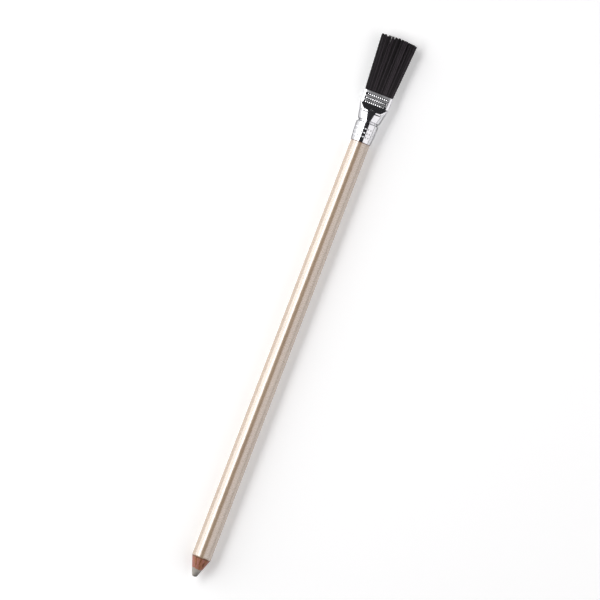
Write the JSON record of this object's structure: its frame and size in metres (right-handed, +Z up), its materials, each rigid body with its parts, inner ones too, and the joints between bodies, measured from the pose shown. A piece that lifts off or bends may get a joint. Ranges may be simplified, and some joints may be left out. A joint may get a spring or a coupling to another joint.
{
  "type": "eraser pencil with brush",
  "caption": "Round lacquered wooden pencil with a sharpened eraser core at one end and a flat brush of fanned bristles, crimped in a bright metal ferrule, at the other.",
  "frame": {"origin": "below the middle of the whole pencil, on the surface that the pencil lies on", "axes": "+X along the pencil from the eraser point to the brush, +Y across the flat of the brush, +Z up, square to the flat of the brush"},
  "size_m": [0.2038, 0.014, 0.0081],
  "materials": {
    "eraser": "matt, gritty grey-white eraser stock, smudged dark at its worn tip",
    "cedar": "bare sharpened cedar, fine lengthwise grain",
    "lacquer": "glossy, pearly champagne lacquer",
    "bright_metal": "bright plated sheet metal, lightly drawn",
    "cement": "cast dark brown resin",
    "bristle": "near-black filaments with a dull sheen along them"
  },
  "bodies": {
    "root": {"eraser_core": "eraser", "casing_slat_upper": "cedar", "casing_slat_lower": "cedar", "lacquer_coat": "lacquer", "ferrule": "bright_metal", "bristle_cement": "cement", "bristle_lock_01": "bristle", "bristle_lock_02": "bristle", "bristle_lock_03": "bristle", "bristle_lock_04": "bristle", "bristle_lock_05": "bristle", "bristle_lock_06": "bristle", "bristle_lock_07": "bristle", "bristle_lock_08": "bristle", "bristle_lock_09": "bristle", "bristle_lock_10": "bristle", "bristle_lock_11": "bristle"}
  },
  "joints": []
}
